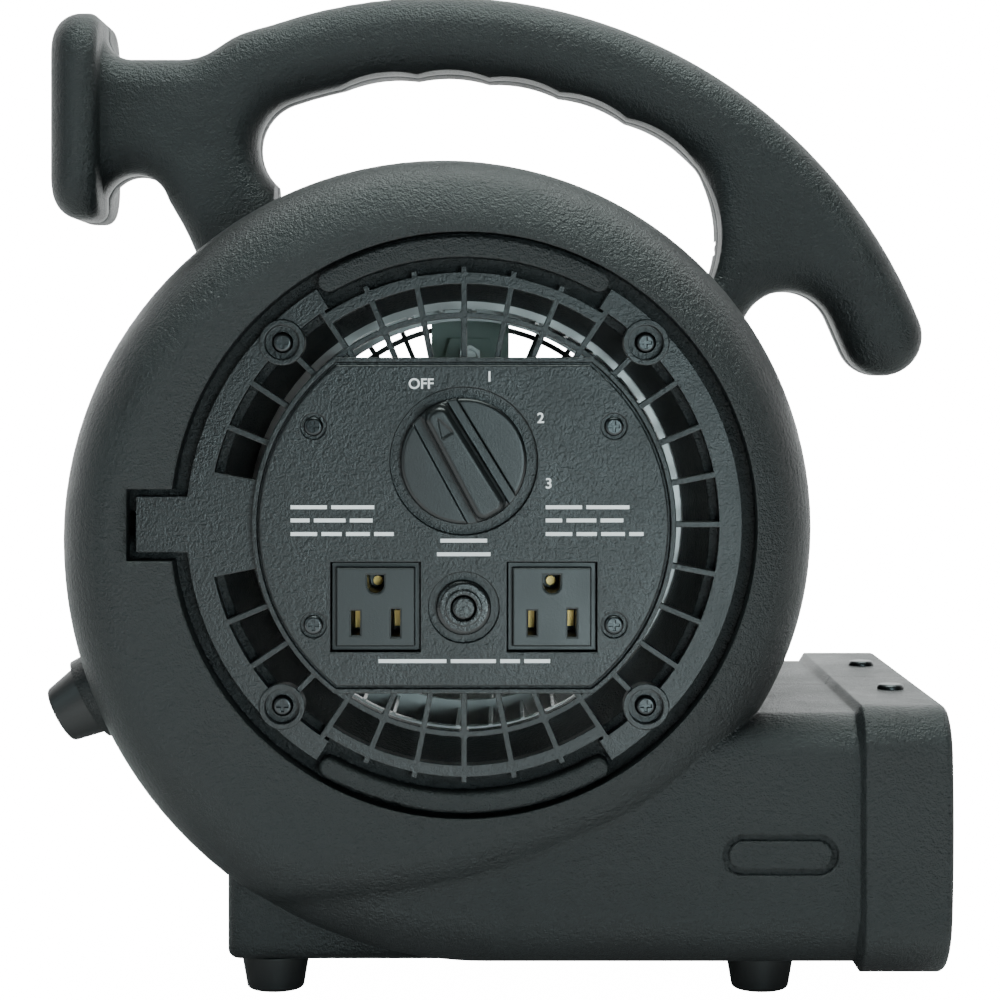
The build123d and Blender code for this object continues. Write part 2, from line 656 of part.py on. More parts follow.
with BuildPart() as switch_shaft:
    with BuildSketch(across(panel_back - 19.5)):
        with Locations((0, knob_up)):
            Circle(shaft_bore - 0.05)
    extrude(amount=32.5)
    with BuildSketch(across(well_floor + 1)):
        with Locations((0, knob_up + 4.2)):
            Rectangle(8, 4)
    extrude(amount=20, mode=Mode.SUBTRACT)
write(switch_shaft.part, "switch_shaft")

with BuildPart() as speed_knob:
    with BuildSketch(across(well_floor + 0.4)):
        with Locations((0, knob_up)):
            Circle(knob_radius)
    extrude(amount=knob_disc)
    fillet(speed_knob.faces().sort_by(Axis.Y)[0].edges(), 1.2)
    with BuildSketch(knob_plane.offset(knob_disc)):
        for side in (-1, 1):
            near_top, near_low = side * bar_outline[1][0], side * bar_outline[2][0]
            step = side * groove_wide
            add(outline((near_top, 26), (near_top + step, 26), (near_low + step, -26), (near_low, -26)))
    extrude(amount=-groove_deep, mode=Mode.SUBTRACT)
    with BuildSketch(knob_plane) as bar_sketch:
        add(outline(*bar_outline))
        fillet(bar_sketch.vertices(), 4)
    extrude(amount=bar_height, taper=3)
    fillet(speed_knob.faces().sort_by(Axis.Y)[0].edges(), 1.8)
    with BuildSketch(knob_plane.offset(bar_height - 0.4)):
        add(outline((0, 16), (-2.1, 9.6), (2.1, 9.6)))
    extrude(amount=1, mode=Mode.SUBTRACT)
    with BuildSketch(across(well_floor)):
        with Locations((0, knob_up)):
            Circle(7.6)
    extrude(amount=2.8, mode=Mode.SUBTRACT)
    add(switch_shaft.part, mode=Mode.SUBTRACT)
write(speed_knob.part, "speed_knob")

# ---------------------------------------------------------------- push-to-reset breaker
with BuildPart() as breaker_body:
    with BuildSketch(across(panel_back - 21)):
        with Locations((0, breaker_up)):
            RectangleRounded(15, 24, 1.5)
    extrude(amount=19)
    with BuildSketch(across(panel_back - 2)):
        with Locations((0, breaker_up)):
            Circle(breaker_bushing - 0.1)
    extrude(amount=panel_front - panel_back + 2)
    with BuildSketch(across(panel_back - 12)):
        with Locations((0, breaker_up)):
            Circle(button_radius + 0.3)
    extrude(amount=30, mode=Mode.SUBTRACT)
    with BuildSketch(across(panel_back - 26)):
        with Locations((0, breaker_up - 7), (0, breaker_up + 7)):
            Rectangle(6.3, 0.8)
    extrude(amount=5)
write(breaker_body.part, "breaker_body")

with BuildPart() as breaker_bezel:
    with BuildSketch(across(panel_front - 1.5)):
        with Locations((0, breaker_up)):
            Circle(8.75)
            Circle(breaker_bushing + 0.1, mode=Mode.SUBTRACT)
    extrude(amount=3.4)
    fillet(breaker_bezel.faces().sort_by(Axis.Y)[0].outer_wire().edges(), 1.5)
    with BuildSketch(across(panel_front + 0.2)):
        with Locations((0, breaker_up)):
            Circle(breaker_bushing + 0.1)
            Circle(button_radius + 0.5, mode=Mode.SUBTRACT)
    extrude(amount=2.6)
write(breaker_bezel.part, "breaker_bezel")

with BuildPart() as breaker_button:
    with BuildSketch(across(panel_back - 6)):
        with Locations((0, breaker_up)):
            Circle(button_radius)
    extrude(amount=panel_front + button_proud - panel_back + 6)
    fillet(breaker_button.faces().sort_by(Axis.Y)[0].edges(), 0.8)
write(breaker_button.part, "breaker_button")


# ---------------------------------------------------------------- receptacles
def blade_slots(x, depth, amount, grow):
    """The two blade slots and the round-bottomed earth hole of one receptacle, as a solid."""
    with BuildPart() as slots:
        with BuildSketch(across(depth)):
            with Locations((x - blade_pitch / 2, outlet_up - 5.1)):
                Rectangle(slot_width + grow, 7.8 + grow)
            with Locations((x + blade_pitch / 2, outlet_up - 5.1)):
                Rectangle(slot_width + grow, 8.8 + grow)
            with Locations((x, outlet_up + 7.05)):
                Circle(2.7 + grow / 2)
            with Locations((x, outlet_up + 8.6)):
                Rectangle(5.4 + grow, 3.1 + grow)
        extrude(amount=amount)
    return slots.part


def receptacle(x):
    with BuildPart() as body:
        with BuildSketch(across(panel_back - 20)):
            with Locations((x, outlet_up)):
                Rectangle(outlet_frame - 0.8, outlet_frame - 0.8)
        extrude(amount=panel_front - panel_back + 16.5)
        with BuildSketch(across(panel_front - 3.5)):
            with Locations((x, outlet_up)):
                Rectangle(outlet_face, outlet_face)
        extrude(amount=3.3)
        chamfer(body.faces().sort_by(Axis.Y)[0].edges(), 0.4)
        add(blade_slots(x, panel_back - 18, 30, 0), mode=Mode.SUBTRACT)
        add(blade_slots(x, panel_front - 0.8, 3, slot_bevel), mode=Mode.SUBTRACT)
    return body.part


def contact_blades(x):
    """Brass contacts standing in the bottom of one receptacle's slots."""
    with BuildPart() as contacts:
        with BuildSketch(across(panel_back - 18)):
            with Locations((x - blade_pitch / 2, outlet_up - 5.1)):
                Rectangle(slot_width - 1, 6)
            with Locations((x + blade_pitch / 2, outlet_up - 5.1)):
                Rectangle(slot_width - 1, 5)
            with Locations((x, outlet_up + 7.05)):
                Circle(1.5)
        extrude(amount=contact_height)
    return contacts.part


for label, x in (("left", -outlet_x), ("right", outlet_x)):
    write(receptacle(x), f"outlet_{label}")
    write(contact_blades(x), f"outlet_contacts_{label}")

# ---------------------------------------------------------------- motor
with BuildPart() as motor_shell:
    with BuildSketch(axial):
        add(ring_of(motor_radius - 1.6, motor_radius, motor_back, motor_front))
    revolve(axis=wheel_axis)
write(motor_shell.part, "motor_shell")


def end_bell(inner, outwards):
    """A die-cast end cap on the shell's rim, with a bearing boss; outwards is the way it faces."""
    with BuildPart() as cap:
        with BuildSketch(axial):
            add(ring_of(bearing_outer, motor_radius, inner, inner + outwards * 3))
            add(ring_of(bearing_outer, bearing_outer + 3, inner, inner + outwards * boss_length))
            add(ring_of(shaft_radius + 1.5, bearing_outer + 3, inner + outwards * (boss_length - 2),
                        inner + outwards * boss_length))
        revolve(axis=wheel_axis)
        with BuildSketch(across(inner)):
            with PolarLocations(25, 8, 22.5):
                SlotOverall(13, 5)
            with PolarLocations(tie_ring, 4, 45):
                Circle(tie_radius + 0.05)
            with Locations(lead_entry):
                Circle(lead_radius + 0.1)
        extrude(amount=outwards * 4, mode=Mode.SUBTRACT)
    return cap.part


def bearing(depth):
    with BuildPart() as race:
        with BuildSketch(axial):
            add(ring_of(shaft_radius + bearing_gap, bearing_outer, depth, depth + bearing_width))
            with Locations((8, depth), (8, depth + bearing_width)):
                Rectangle(3, 1, mode=Mode.SUBTRACT)
        revolve(axis=wheel_axis)
    return race.part


write(end_bell(motor_front, 1), "motor_front_cap")
write(end_bell(motor_back, -1), "motor_rear_cap")
write(bearing(motor_front + 1), "front_bearing")
write(bearing(motor_back - 1 - bearing_width), "rear_bearing")

with BuildPart() as motor_stator:
    with BuildSketch(across(stator_back)):
        Circle(motor_radius - 1.7)
        Circle(rotor_radius + rotor_gap, mode=Mode.SUBTRACT)
        with PolarLocations(rotor_radius + 6.5, 24):
            Rectangle(9, 2.6, mode=Mode.SUBTRACT)
    extrude(amount=stator_length)
    with BuildSketch(axial):
        add(ring_of(rotor_radius + 2, motor_radius - 6, stator_back - 6, stator_back))
        add(ring_of(rotor_radius + 2, motor_radius - 6, stator_back + stator_length, stator_back + stator_length + 6))
    revolve(axis=wheel_axis)
write(motor_stator.part, "motor_stator")

with BuildPart() as motor_rotor:
    with BuildSketch(across(stator_back)):
        Circle(rotor_radius)
        Circle(shaft_radius, mode=Mode.SUBTRACT)
        with PolarLocations(rotor_radius, 28):
            Circle(1.0, mode=Mode.SUBTRACT)
    extrude(amount=stator_length)
write(motor_rotor.part, "motor_rotor")

with BuildPart() as motor_shaft:
    with BuildSketch(across(motor_back - 8.5)):
        Circle(shaft_radius)
    extrude(amount=shaft_length)
    chamfer(motor_shaft.faces().filter_by(Axis.Y).edges(), 0.5)
write(motor_shaft.part, "motor_shaft")

with BuildPart() as motor_bracket:
    with BuildSketch(across(bracket_back)):
        Circle(motor_radius + 1)
        Circle(bearing_outer + 3.4, mode=Mode.SUBTRACT)
        for middle in (0, 90, 180, 270):
            add(outline(*[turned(point, middle) for point in ear_points]))
        with PolarLocations(ear_bolt, 4):
            Circle(bolt_radius + 0.3, mode=Mode.SUBTRACT)
        with PolarLocations(tie_ring, 4, 45):
            Circle(tie_radius + 0.2, mode=Mode.SUBTRACT)
        with Locations(lead_entry):
            Circle(lead_radius + 1, mode=Mode.SUBTRACT)
    extrude(amount=bracket_front - bracket_back)
write(motor_bracket.part, "motor_bracket")

with BuildPart() as motor_tie_bolts:
    with BuildSketch(across(bracket_back)):
        with PolarLocations(tie_ring, 4, 45):
            RegularPolygon(3.6, 6)
    extrude(amount=-2.4)
    with BuildSketch(across(bracket_back)):
        with PolarLocations(tie_ring, 4, 45):
            Circle(tie_radius)
    extrude(amount=5)
write(motor_tie_bolts.part, "motor_tie_bolts")

with BuildPart() as mount_grommets:
    with BuildSketch(across(bracket_back)):
        with PolarLocations(ear_bolt, 4):
            Circle(6.5)
            Circle(bolt_radius + 0.2, mode=Mode.SUBTRACT)
    extrude(amount=spider_front - bracket_back)
write(mount_grommets.part, "mount_grommets")

with BuildPart() as mount_bolts:
    with BuildSketch(across(spider_back)):
        with PolarLocations(ear_bolt, 4):
            RegularPolygon(4.4, 6)
    extrude(amount=-2.6)
    with BuildSketch(across(spider_back)):
        with PolarLocations(ear_bolt, 4):
            Circle(bolt_radius)
    extrude(amount=18)
write(mount_bolts.part, "mount_bolts")

with BuildPart() as mount_nuts:
    with BuildSketch(across(bracket_front)):
        with PolarLocations(ear_bolt, 4):
            RegularPolygon(4.6, 6)
            Circle(bolt_radius + 0.02, mode=Mode.SUBTRACT)
    extrude(amount=3.2)
write(mount_nuts.part, "mount_nuts")

with BuildPart() as motor_spider:
    with BuildSketch(across(spider_back)):
        Circle(recess_radius - 0.8)
        Circle(inlet_radius - 1, mode=Mode.SUBTRACT)
        for middle in (90, 270):
            add(sector(bar_inner - 0.8, recess_radius, middle, bar_span + 3), mode=Mode.SUBTRACT)
        with BuildSketch(mode=Mode.PRIVATE) as arms:
            Rectangle(2 * inlet_radius, arm_width)
            Rectangle(arm_width, 2 * inlet_radius)
            fillet(arms.vertices().sort_by(lambda v: v.X ** 2 + v.Y ** 2)[:4], 14)
        add(arms.sketch)
        Circle(44, mode=Mode.SUBTRACT)
        with PolarLocations(ear_bolt, 4):
            Circle(bolt_radius + 0.2, mode=Mode.SUBTRACT)
        with Locations(*grille_screws):
            Circle(screw_shank + 0.3, mode=Mode.SUBTRACT)
    extrude(amount=spider_front - spider_back)
write(motor_spider.part, "motor_spider")

# ---------------------------------------------------------------- wheel
with BuildSketch() as blade_section:
    with BuildLine():
        blade = ThreePointArc((-7, -3.2), (0.5, -1.8), (6.4, 3.4))
        back = ThreePointArc((-7, -2.0), (0.2, -0.6), (5.6, 4.3))
        Line(blade @ 0, back @ 0)
        Line(blade @ 1, back @ 1)
    make_face()

with BuildPart() as blower_wheel:
    with BuildSketch(across(-wheel_half)):
        with PolarLocations((wheel_eye + wheel_outer) / 2 - 0.5, blade_count):
            add(blade_section.sketch)
    extrude(amount=2 * wheel_half)
    with BuildSketch(axial):
        add(ring_of(wheel_eye, wheel_outer, wheel_half - rim_depth, wheel_half))
        add(ring_of(wheel_eye, wheel_outer, -wheel_half, -wheel_half + rim_depth))
        add(ring_of(hub_radius, wheel_outer, web_back, web_front))
    revolve(axis=wheel_axis)
    with BuildSketch(across(web_back - 1)):
        for middle in (0, 90, 180, 270):
            add(sector(window_in, window_out, middle, window_half))
    extrude(amount=web_front - web_back + 2, mode=Mode.SUBTRACT)
    with BuildSketch(across(web_back)):
        with PolarLocations(hub_radius + 5, 6):
            Circle(2.2)
    extrude(amount=web_front - web_back + 1.4)
write(blower_wheel.part, "blower_wheel")

with BuildPart() as wheel_hub:
    with BuildSketch(across(web_back - hub_back)):
        Circle(hub_radius)
        Circle(shaft_radius, mode=Mode.SUBTRACT)
    extrude(amount=hub_back + web_front - web_back + hub_front)
    with BuildSketch(Plane.XY.offset(axis_z)):
        with Locations((axis_x, -(web_front + hub_front / 2))):
            Circle(set_screw_radius)
    extrude(amount=hub_radius + 5, mode=Mode.SUBTRACT)
write(wheel_hub.part, "wheel_hub")

with BuildPart() as hub_set_screw:
    with BuildSketch(Plane.XY.offset(axis_z + shaft_radius + 0.1)):
        with Locations((axis_x, -(web_front + hub_front / 2))):
            Circle(set_screw_radius)
    extrude(amount=hub_radius - shaft_radius - 1)
write(hub_set_screw.part, "hub_set_screw")

# ---------------------------------------------------------------- rear grille
with BuildPart() as dome_rib:
    with BuildSketch(axial):
        with BuildLine():
            rib_out = ThreePointArc((ring_inner + 2, -92.5), (50, -103), (14, -dome_apex + 0.8))
            rib_in = ThreePointArc((ring_inner + 2, -89.5), (50, -100), (14, -dome_apex + 3.8))
            Line(rib_out @ 0, rib_in @ 0)
            Line(rib_out @ 1, rib_in @ 1)
        make_face()
    extrude(amount=rib_width / 2, both=True)

with BuildPart() as rear_grille:
    with BuildSketch(across(spider_back)):
        Circle(ring_outer)
        for middle in (90, 270):
            add(sector(ring_notched, ring_outer + 1, middle, 32), mode=Mode.SUBTRACT)
        Circle(ring_inner, mode=Mode.SUBTRACT)
        for middle in (90, 270):
            add(sector(ring_inner_notched, ring_notched, middle, 34))
        with Locations(*grille_screws):
            Circle(7.3)
    extrude(amount=-6.5)
    with BuildSketch(axial):
        add(ring_of(mid_ring - 1, mid_ring + 1, -98.6, -95.4))
        add(ring_of(51, 53, -103, -99.8))
        add(ring_of(36, 38, -106.6, -103.2))
        add(outline((0, -dome_apex), (19.5, -dome_apex), (21, -dome_apex + 1.5), (21, -105.6), (0, -105.6)))
    revolve(axis=wheel_axis)
    for number in range(rib_count):
        add(dome_rib.part.rotate(wheel_axis, 360 / rib_count * number))
    with BuildSketch(across(-rear_screw_floor)):
        with Locations(*grille_screws):
            Circle(5.6)
    extrude(amount=-20, mode=Mode.SUBTRACT)
    add(bore_from(spider_back + 1, -20, screw_shank + 0.3, grille_screws), mode=Mode.SUBTRACT)
write(rear_grille.part, "rear_grille")

# ---------------------------------------------------------------- outlet guard
rivet_drills = [rivet_holes(side) for side in (1, -1)]
guard_top = axis_z + duct_top - sleeve_wall
guard_bottom = axis_z + scroll_bottom + sleeve_wall

with BuildPart() as outlet_sleeve:
    extrude(duct_section(sleeve_x + 0.3, 0, duct_top_roll, duct_roll), amount=sleeve_length)
    extrude(
        duct_section(sleeve_x - 1, -sleeve_wall, duct_top_roll - sleeve_wall, duct_roll - sleeve_wall),
        amount=sleeve_length + 5,
        mode=Mode.SUBTRACT,
    )
    for drill in rivet_drills:
        add(drill, mode=Mode.SUBTRACT)
write(outlet_sleeve.part, "outlet_sleeve")

with BuildPart() as outlet_guard:
    with BuildSketch(Plane.XY.offset(guard_bottom)):
        with Locations(*[(axis_x + sleeve_x + 4, guard_pitch * place) for place in range(-4, 5)]):
            Circle(guard_rod)
    extrude(amount=guard_top - guard_bottom)
    with BuildSketch(Plane.XZ.offset(-duct_half + sleeve_wall)):
        with Locations(*[(axis_x + sleeve_x + 6.5, duct_middle + side * 20) for side in (-1, 1)]):
            Circle(guard_rod)
    extrude(amount=2 * (duct_half - sleeve_wall))
write(outlet_guard.part, "outlet_guard")

with BuildPart() as outlet_rivets:
    rivet_places = [(axis_x + rivet_x, side * rivet_y) for side in (-1, 1)]
    with BuildSketch(Plane.XY.offset(axis_z + duct_top + collar_rise)):
        with Locations(*rivet_places):
            Circle(4.5)
    extrude(amount=1.7)
    fillet(outlet_rivets.faces().sort_by(Axis.Z)[-2:].edges(), 1.2)
    with BuildSketch(Plane.XY.offset(guard_top)):
        with Locations(*rivet_places):
            Circle(rivet_radius)
    extrude(amount=sleeve_wall + collar_rise)
    with BuildSketch(Plane.XY.offset(guard_top)):
        with Locations(*rivet_places):
            Circle(3.3)
    extrude(amount=-1.2)
    mirror(about=Plane.XY.offset(duct_middle))
write(outlet_rivets.part, "outlet_rivets")


# ---------------------------------------------------------------- rubber feet
def rubber_foot(plane, radius, tip, height):
    """A tapered foot on a plane that faces the floor, bored for a sunk screw head."""
    with BuildPart() as foot:
        with BuildSketch(plane):
            Circle(radius)
        with BuildSketch(plane.offset(height)):
            Circle(tip)
        loft()
        fillet(foot.faces().sort_by_distance(plane.offset(height).origin)[0].edges(), 1.5)
        with BuildSketch(plane):
            Circle(screw_shank + 0.3)
        extrude(amount=height, mode=Mode.SUBTRACT)
        with BuildSketch(plane.offset(foot_seat)):
            Circle(screw_head + 0.6)
        extrude(amount=height, mode=Mode.SUBTRACT)
    return foot.part


for (label, _), plane in zip(feet_at.items(), foot_planes):
    write(rubber_foot(plane, foot_radius, foot_tip, foot_top), f"foot_{label}")
for label, plane in zip(("front", "rear"), stand_planes):
    write(rubber_foot(plane, stand_foot_radius, stand_foot_tip, stand_foot_height), f"stand_foot_{label}")

with BuildPart() as foot_screws:
    for plane in foot_planes + stand_planes:
        with BuildSketch(plane.offset(foot_seat)):
            Circle(screw_head)
        extrude(amount=2.4)
        with BuildSketch(plane.offset(-foot_screw_depth)):
            Circle(screw_shank)
        extrude(amount=foot_screw_depth + foot_seat)
        with BuildSketch(plane.offset(foot_seat + 1)):
            Rectangle(4.4, 1.2)
            Rectangle(1.2, 4.4)
        extrude(amount=3, mode=Mode.SUBTRACT)
write(foot_screws.part, "foot_screws")

# ---------------------------------------------------------------- cord gland and wiring
with BuildPart() as cord_gland:
    with BuildSketch(axial):
        add(ring_of(gland_bore, gland_flange, -gland_seat - 3.2, -gland_seat))
        add(ring_of(gland_bore, gland_radius, -gland_seat, -gland_seat + 14))
        add(ring_of(gland_bore, gland_radius - 0.6, -gland_seat - 15, -gland_seat - 3.2))
    revolve(axis=wheel_axis)
    fillet(cord_gland.faces().sort_by(Axis.Y)[-1].outer_wire().edges(), 1)
write(Pos(gland_at[0], 0, gland_at[1]) * cord_gland.part, "cord_gland")

with BuildPart() as run_capacitor:
    with BuildSketch(Plane.XY.offset(axis_z - 6)):
        with Locations((axis_x + 30, -box_back - 2 - capacitor_radius - 0.1)):
            Circle(capacitor_radius)
    extrude(amount=34)
    fillet(run_capacitor.edges(), 1)
write(run_capacitor.part, "run_capacitor")

lead_path = [
    (-15, lead_depth, 14),
    (-34, lead_depth, 14),
    (-34, lead_depth, 0),
    (-108, lead_depth, 0),
    (-108, -lead_depth, 0),
    (-72, -lead_depth, 0),
    (-60, -lead_depth, -13),
    (lead_entry[0], -lead_depth, lead_entry[1]),
    (lead_entry[0], motor_back - 1, lead_entry[1]),
]
with BuildPart() as motor_lead:
    with BuildLine():
        FilletPolyline(*[(axis_x + x, -depth, axis_z + up) for x, depth, up in lead_path], radius=6)
    with BuildSketch(Plane(origin=(axis_x - 15, -lead_depth, axis_z + 14), z_dir=(-1, 0, 0))):
        Circle(lead_radius)
    sweep()
write(motor_lead.part, "motor_lead")
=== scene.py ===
import math

import bmesh
import bpy
from mathutils import Matrix, Vector
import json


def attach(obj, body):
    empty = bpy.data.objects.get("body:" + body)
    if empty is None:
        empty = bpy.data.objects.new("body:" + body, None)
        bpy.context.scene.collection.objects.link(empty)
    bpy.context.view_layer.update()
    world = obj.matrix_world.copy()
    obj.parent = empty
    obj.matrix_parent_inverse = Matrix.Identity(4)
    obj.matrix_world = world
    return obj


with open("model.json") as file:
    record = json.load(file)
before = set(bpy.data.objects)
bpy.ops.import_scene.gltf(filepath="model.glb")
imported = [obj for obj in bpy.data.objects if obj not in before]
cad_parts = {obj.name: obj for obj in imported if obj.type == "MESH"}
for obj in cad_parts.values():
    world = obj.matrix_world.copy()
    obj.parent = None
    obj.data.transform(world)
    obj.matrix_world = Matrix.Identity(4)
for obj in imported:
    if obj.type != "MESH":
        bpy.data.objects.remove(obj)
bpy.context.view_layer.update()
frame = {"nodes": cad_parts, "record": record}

AXIS_X, AXIS_Z = -0.0078, 0.1555      # the wheel axis, parallel to Y
PANEL_FRONT = -0.097                  # the control panel's face
KNOB_UP = 0.0205                      # the knob's centre above the wheel axis

CAMERA_AT = (0.0037, -0.917, 0.203)
CAMERA_LENS = 93.1
CAMERA_SHIFT = -0.124                 # the camera looks level, so uprights stay upright

DIAL_RADIUS, DIAL_HEIGHT = 0.0279, 0.0046
PRINT_PROUD = 0.00005                 # the dial's marks stand this far off the panel
BAR_PROUD, BAR_THICK = 0.00008, 0.00014
BAR_HALF, BAR_GAP = 0.6, 1.4          # half a bar's height and the gap between bars, in mm

FLOOR_HALF, FLOOR_FRONT, FLOOR_MIDDLE = 3, -2.5, -0.4
COVE_START, COVE_RADIUS, BACKDROP_TOP = 0.6, 0.5, 2.6
FLOOR_BEHIND, FLOOR_NEAR = 1.6, 1.3   # light cast by the part behind the object and the part in front
FLOOR_SHOWN = 16.0                    # how bright the camera sees it
FLOOR_NEAR_MIDDLE = 0.55              # the glow in front is centred this far ahead of the axis


# ---------------------------------------------------------------- camera
def make_camera():
    data = bpy.data.cameras.new("camera")
    data.lens = CAMERA_LENS
    data.sensor_width = 36.0
    data.shift_y = CAMERA_SHIFT
    camera = bpy.data.objects.new("camera", data)
    camera.location = CAMERA_AT
    camera.rotation_euler = (math.radians(90), 0, 0)
    bpy.context.collection.objects.link(camera)
    bpy.context.scene.camera = camera


# ---------------------------------------------------------------- materials
class Nodes:
    """A material and short ways to add and join its nodes."""

    def __init__(self, name):
        self.material = bpy.data.materials.new(name)
        self.material.use_nodes = True
        self.tree = self.material.node_tree
        self.shader = self.tree.nodes["Principled BSDF"]
        self.place = self.tree.nodes.new("ShaderNodeTexCoord").outputs["Object"]

    def add(self, kind, **values):
        node = self.tree.nodes.new(kind)
        for key, value in values.items():
            if hasattr(node, key):
                setattr(node, key, value)
            else:
                node.inputs[key.replace("_", " ")].default_value = value
        return node

    def join(self, source, target):
        self.tree.links.new(source, target)

    def noise(self, scale, detail=2.0, rough=0.5):
        node = self.add("ShaderNodeTexNoise", Scale=scale, Detail=detail, Roughness=rough)
        self.join(self.place, node.inputs["Vector"])
        return node.outputs["Fac"]

    def ramp(self, value, low, high, start=0.35, end=0.65):
        node = self.tree.nodes.new("ShaderNodeMapRange")
        node.inputs["From Min"].default_value = start
        node.inputs["From Max"].default_value = end
        node.inputs["To Min"].default_value = low
        node.inputs["To Max"].default_value = high
        self.join(value, node.inputs["Value"])
        return node.outputs["Result"]

    def tint(self, value, dark, light):
        node = self.tree.nodes.new("ShaderNodeMix")
        node.data_type = "RGBA"
        node.inputs[6].default_value = (*dark, 1)
        node.inputs[7].default_value = (*light, 1)
        self.join(value, node.inputs[0])
        return node.outputs[2]


def blend_radius(look, edge, soft):
    """The edge radius, wider where the scroll runs into the duct and the handle: outside the inlet ring."""
    offset = look.add("ShaderNodeVectorMath", operation="SUBTRACT")
    look.join(look.place, offset.inputs[0])
    offset.inputs[1].default_value = (AXIS_X, 0, AXIS_Z)
    flat = look.add("ShaderNodeVectorMath", operation="MULTIPLY")
    look.join(offset.outputs["Vector"], flat.inputs[0])
    flat.inputs[1].default_value = (1, 0, 1)
    length = look.add("ShaderNodeVectorMath", operation="LENGTH")
    look.join(flat.outputs["Vector"], length.inputs[0])
    outside = look.ramp(length.outputs["Value"], 0, 1, 0.102, 0.112)
    split = look.add("ShaderNodeSeparateXYZ")
    look.join(look.place, split.inputs[0])
    short_of_duct = look.ramp(split.outputs["X"], 1, 0, 0.040, 0.062)
    above_duct = look.ramp(split.outputs["Z"], 0, 1, 0.098, 0.110)
    either = look.add("ShaderNodeMath", operation="MAXIMUM")
    look.join(short_of_duct, either.inputs[0])
    look.join(above_duct, either.inputs[1])
    both = look.add("ShaderNodeMath", operation="MULTIPLY")
    look.join(outside, both.inputs[0])
    look.join(either.outputs[0], both.inputs[1])
    return look.ramp(both.outputs[0], edge, soft, 0, 1)


def surface(name, dark, light, rough, grain=900.0, depth=0.0, edge=0.0, metal=0.0, patch=35.0, spread=0.06,
            specular=0.5, soft=0.0):
    """A moulded or metal surface: patchy colour, uneven gloss, fine grain and softened edges."""
    look = Nodes(name)
    patches = look.noise(patch, 4.0, 0.6)
    look.join(look.tint(look.ramp(patches, 0, 1), dark, light), look.shader.inputs["Base Color"])
    look.join(look.ramp(patches, rough - spread, rough + spread), look.shader.inputs["Roughness"])
    look.shader.inputs["Metallic"].default_value = metal
    look.shader.inputs["Specular IOR Level"].default_value = specular
    normal = None
    if edge:
        bevel = look.add("ShaderNodeBevel", Radius=edge)
        bevel.samples = 8
        normal = bevel.outputs["Normal"]
        if soft:
            look.join(blend_radius(look, edge, soft), bevel.inputs["Radius"])
    if depth:
        fine = look.noise(grain, 3.0, 0.55)
        coarse = look.noise(grain * 0.45, 2.0, 0.5)
        total = look.add("ShaderNodeMath", operation="ADD")
        look.join(fine, total.inputs[0])
        look.join(coarse, total.inputs[1])
        bump = look.add("ShaderNodeBump", Strength=0.6, Distance=depth)
        look.join(total.outputs[0], bump.inputs["Height"])
        if normal:
            look.join(normal, bump.inputs["Normal"])
        normal = bump.outputs["Normal"]
    if normal:
        look.join(normal, look.shader.inputs["Normal"])
    return look.material


LOOKS = {
    "housing_plastic": surface("housing_plastic", (0.0040, 0.0057, 0.0059), (0.0064, 0.0089, 0.0092), 0.41,
                               grain=1650, depth=0.0010, edge=0.0014, soft=0.010),
    "grille_plastic": surface("grille_plastic", (0.0036, 0.0050, 0.0052), (0.0055, 0.0073, 0.0075), 0.34,
                              grain=1500, depth=0.0003, edge=0.0005),
    "knob_plastic": surface("knob_plastic", (0.0026, 0.0036, 0.0038), (0.0037, 0.0048, 0.0051), 0.36,
                            grain=2600, depth=0.00005, edge=0.0009),
    "bezel_plastic": surface("bezel_plastic", (0.006, 0.0065, 0.007), (0.010, 0.011, 0.011), 0.24,
                             grain=1400, depth=0.00018, edge=0.0006),
    "insulator": surface("insulator", (0.012, 0.012, 0.012), (0.02, 0.02, 0.02), 0.5,
                         grain=1500, depth=0.0001, edge=0.0006),
    "receptacle_plastic": surface("receptacle_plastic", (0.0075, 0.0098, 0.0102), (0.0105, 0.0130, 0.0135),
                                  0.38, grain=2600, depth=0.00004, edge=0.0004),
    "contact_brass": surface("contact_brass", (0.35, 0.24, 0.08), (0.5, 0.36, 0.14), 0.35, metal=1.0),
    "black_screws": surface("black_screws", (0.03, 0.032, 0.033), (0.07, 0.073, 0.075), 0.32, grain=1800,
                            depth=0.00005, edge=0.0002, metal=1.0),
    "zinc_steel": surface("zinc_steel", (0.42, 0.43, 0.42), (0.6, 0.61, 0.6), 0.34, grain=900, depth=0.00004,
                          edge=0.0004, metal=1.0),
    "shaft_steel": surface("shaft_steel", (0.5, 0.5, 0.5), (0.62, 0.62, 0.62), 0.28, grain=600, depth=0.00003,
                           metal=1.0),
    "grey_green_steel": surface("grey_green_steel", (0.30, 0.40, 0.35), (0.38, 0.48, 0.43), 0.4, grain=700,
                                depth=0.00006, edge=0.0005),
    "cast_cap": surface("cast_cap", (0.4, 0.4, 0.4), (0.52, 0.52, 0.51), 0.5, grain=500, depth=0.0002,
                        edge=0.0006, metal=0.9),
    "core_steel": surface("core_steel", (0.16, 0.12, 0.09), (0.24, 0.19, 0.15), 0.5, grain=300, depth=0.0002,
                          metal=0.7),
    "wheel_plastic": surface("wheel_plastic", (0.72, 0.73, 0.72), (0.82, 0.83, 0.82), 0.24, grain=400,
                             depth=0.00004, edge=0.0004, spread=0.04),
    "rubber_black": surface("rubber_black", (0.006, 0.006, 0.006), (0.010, 0.010, 0.010), 0.5, grain=1400,
                            depth=0.00006, edge=0.0008),
}
PRINT = surface("panel_print", (0.86, 0.86, 0.86), (0.94, 0.94, 0.94), 0.5, grain=2500, depth=0.00001)

for part in frame["record"]["subparts"]:
    node = frame["nodes"][part["node"]]
    node.data.materials.clear()
    node.data.materials.append(LOOKS[part["material_slot"]])


